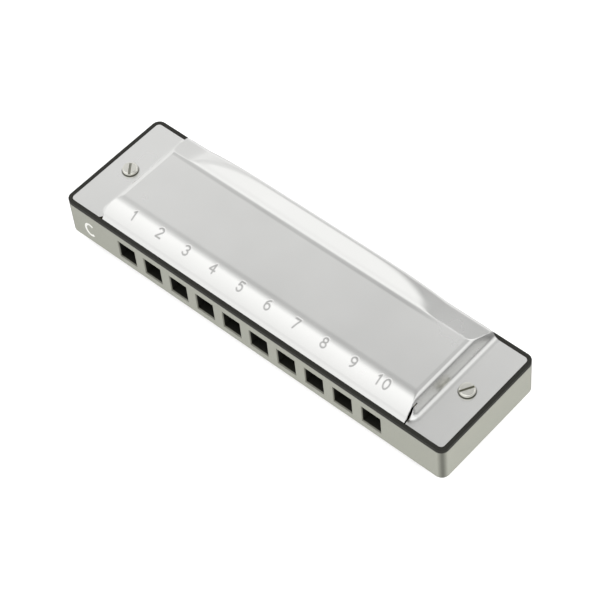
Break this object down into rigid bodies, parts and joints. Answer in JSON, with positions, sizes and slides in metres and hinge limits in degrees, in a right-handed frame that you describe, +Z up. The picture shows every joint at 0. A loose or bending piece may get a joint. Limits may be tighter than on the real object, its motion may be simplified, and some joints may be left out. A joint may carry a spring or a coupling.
{
  "type": "harmonica",
  "caption": "Mouth organ with a row of square blow holes, a silver comb in a black frame, and polished pressed cover plates over brass free reeds.",
  "frame": {"origin": "middle of the flat of the lower cover plate, the face it rests on", "axes": "+X along the row of holes from hole 1 to hole 10, +Y from the mouth side to the open back, +Z up"},
  "size_m": [0.1036, 0.0288, 0.017],
  "materials": {
    "comb_silver_paint": "satin silver paint on moulded plastic",
    "frame_black": "satin black plastic",
    "cover_steel": "polished pressed steel sheet",
    "bolt_nickel": "nickel-plated steel",
    "reed_brass": "bare brass, fine ground"
  },
  "bodies": {
    "harmonica_body": {"blow_reed_pads": "reed_brass", "blow_reed_rivets": "reed_brass", "comb": "comb_silver_paint", "draw_reed_pads": "reed_brass", "draw_reed_rivets": "reed_brass", "left_cover_bolt": "bolt_nickel", "left_cover_nut": "bolt_nickel", "lower_cover_plate": "cover_steel", "lower_plate_nails": "reed_brass", "lower_reed_plate": "reed_brass", "right_cover_bolt": "bolt_nickel", "right_cover_nut": "bolt_nickel", "upper_cover_plate": "cover_steel", "upper_frame": "frame_black", "upper_plate_nails": "reed_brass", "upper_reed_plate": "reed_brass"},
    "blow_reed_1_tongue": {"blow_reed_1": "reed_brass"},
    "blow_reed_2_tongue": {"blow_reed_2": "reed_brass"},
    "blow_reed_3_tongue": {"blow_reed_3": "reed_brass"},
    "blow_reed_4_tongue": {"blow_reed_4": "reed_brass"},
    "blow_reed_5_tongue": {"blow_reed_5": "reed_brass"},
    "blow_reed_6_tongue": {"blow_reed_6": "reed_brass"},
    "blow_reed_7_tongue": {"blow_reed_7": "reed_brass"},
    "blow_reed_8_tongue": {"blow_reed_8": "reed_brass"},
    "blow_reed_9_tongue": {"blow_reed_9": "reed_brass"},
    "blow_reed_10_tongue": {"blow_reed_10": "reed_brass"},
    "draw_reed_1_tongue": {"draw_reed_1": "reed_brass"},
    "draw_reed_2_tongue": {"draw_reed_2": "reed_brass"},
    "draw_reed_3_tongue": {"draw_reed_3": "reed_brass"},
    "draw_reed_4_tongue": {"draw_reed_4": "reed_brass"},
    "draw_reed_5_tongue": {"draw_reed_5": "reed_brass"},
    "draw_reed_6_tongue": {"draw_reed_6": "reed_brass"},
    "draw_reed_7_tongue": {"draw_reed_7": "reed_brass"},
    "draw_reed_8_tongue": {"draw_reed_8": "reed_brass"},
    "draw_reed_9_tongue": {"draw_reed_9": "reed_brass"},
    "draw_reed_10_tongue": {"draw_reed_10": "reed_brass"}
  },
  "joints": [
    {"name": "blow_reed_1_flex", "type": "hinge", "parent": "harmonica_body", "child": "blow_reed_1_tongue", "pos_m": [-0.03398, 0.00565, 0.01192], "axis": [1, 0, 0], "range_deg": [-4, 4], "stiffness_Nm_per_rad": 0.02581},
    {"name": "blow_reed_2_flex", "type": "hinge", "parent": "harmonica_body", "child": "blow_reed_2_tongue", "pos_m": [-0.02648, 0.00504, 0.01192], "axis": [1, 0, 0], "range_deg": [-4, 4], "stiffness_Nm_per_rad": 0.02687},
    {"name": "blow_reed_3_flex", "type": "hinge", "parent": "harmonica_body", "child": "blow_reed_3_tongue", "pos_m": [-0.01898, 0.00443, 0.01192], "axis": [1, 0, 0], "range_deg": [-4, 4], "stiffness_Nm_per_rad": 0.02802},
    {"name": "blow_reed_4_flex", "type": "hinge", "parent": "harmonica_body", "child": "blow_reed_4_tongue", "pos_m": [-0.01148, 0.00382, 0.01192], "axis": [1, 0, 0], "range_deg": [-4, 4], "stiffness_Nm_per_rad": 0.02927},
    {"name": "blow_reed_5_flex", "type": "hinge", "parent": "harmonica_body", "child": "blow_reed_5_tongue", "pos_m": [-0.00398, 0.00321, 0.01192], "axis": [1, 0, 0], "range_deg": [-4, 4], "stiffness_Nm_per_rad": 0.03064},
    {"name": "blow_reed_6_flex", "type": "hinge", "parent": "harmonica_body", "child": "blow_reed_6_tongue", "pos_m": [0.00352, 0.00259, 0.01192], "axis": [1, 0, 0], "range_deg": [-4, 4], "stiffness_Nm_per_rad": 0.03214},
    {"name": "blow_reed_7_flex", "type": "hinge", "parent": "harmonica_body", "child": "blow_reed_7_tongue", "pos_m": [0.01102, 0.00198, 0.01192], "axis": [1, 0, 0], "range_deg": [-4, 4], "stiffness_Nm_per_rad": 0.0338},
    {"name": "blow_reed_8_flex", "type": "hinge", "parent": "harmonica_body", "child": "blow_reed_8_tongue", "pos_m": [0.01852, 0.00137, 0.01192], "axis": [1, 0, 0], "range_deg": [-4, 4], "stiffness_Nm_per_rad": 0.03564},
    {"name": "blow_reed_9_flex", "type": "hinge", "parent": "harmonica_body", "child": "blow_reed_9_tongue", "pos_m": [0.02602, 0.00076, 0.01192], "axis": [1, 0, 0], "range_deg": [-4, 4], "stiffness_Nm_per_rad": 0.0377},
    {"name": "blow_reed_10_flex", "type": "hinge", "parent": "harmonica_body", "child": "blow_reed_10_tongue", "pos_m": [0.03352, 0.00015, 0.01192], "axis": [1, 0, 0], "range_deg": [-4, 4], "stiffness_Nm_per_rad": 0.04},
    {"name": "draw_reed_1_flex", "type": "hinge", "parent": "harmonica_body", "child": "draw_reed_1_tongue", "pos_m": [-0.03398, -0.00785, 0.00395], "axis": [1, 0, 0], "range_deg": [-4, 4], "stiffness_Nm_per_rad": 0.02667},
    {"name": "draw_reed_2_flex", "type": "hinge", "parent": "harmonica_body", "child": "draw_reed_2_tongue", "pos_m": [-0.02648, -0.00785, 0.00395], "axis": [1, 0, 0], "range_deg": [-4, 4], "stiffness_Nm_per_rad": 0.0278},
    {"name": "draw_reed_3_flex", "type": "hinge", "parent": "harmonica_body", "child": "draw_reed_3_tongue", "pos_m": [-0.01898, -0.00785, 0.00395], "axis": [1, 0, 0], "range_deg": [-4, 4], "stiffness_Nm_per_rad": 0.02903},
    {"name": "draw_reed_4_flex", "type": "hinge", "parent": "harmonica_body", "child": "draw_reed_4_tongue", "pos_m": [-0.01148, -0.00785, 0.00395], "axis": [1, 0, 0], "range_deg": [-4, 4], "stiffness_Nm_per_rad": 0.03038},
    {"name": "draw_reed_5_flex", "type": "hinge", "parent": "harmonica_body", "child": "draw_reed_5_tongue", "pos_m": [-0.00398, -0.00785, 0.00395], "axis": [1, 0, 0], "range_deg": [-4, 4], "stiffness_Nm_per_rad": 0.03186},
    {"name": "draw_reed_6_flex", "type": "hinge", "parent": "harmonica_body", "child": "draw_reed_6_tongue", "pos_m": [0.00352, -0.00785, 0.00395], "axis": [1, 0, 0], "range_deg": [-4, 4], "stiffness_Nm_per_rad": 0.03349},
    {"name": "draw_reed_7_flex", "type": "hinge", "parent": "harmonica_body", "child": "draw_reed_7_tongue", "pos_m": [0.01102, -0.00785, 0.00395], "axis": [1, 0, 0], "range_deg": [-4, 4], "stiffness_Nm_per_rad": 0.03529},
    {"name": "draw_reed_8_flex", "type": "hinge", "parent": "harmonica_body", "child": "draw_reed_8_tongue", "pos_m": [0.01852, -0.00785, 0.00395], "axis": [1, 0, 0], "range_deg": [-4, 4], "stiffness_Nm_per_rad": 0.03731},
    {"name": "draw_reed_9_flex", "type": "hinge", "parent": "harmonica_body", "child": "draw_reed_9_tongue", "pos_m": [0.02602, -0.00785, 0.00395], "axis": [1, 0, 0], "range_deg": [-4, 4], "stiffness_Nm_per_rad": 0.03956},
    {"name": "draw_reed_10_flex", "type": "hinge", "parent": "harmonica_body", "child": "draw_reed_10_tongue", "pos_m": [0.03352, -0.00785, 0.00395], "axis": [1, 0, 0], "range_deg": [-4, 4], "stiffness_Nm_per_rad": 0.04211}
  ]
}
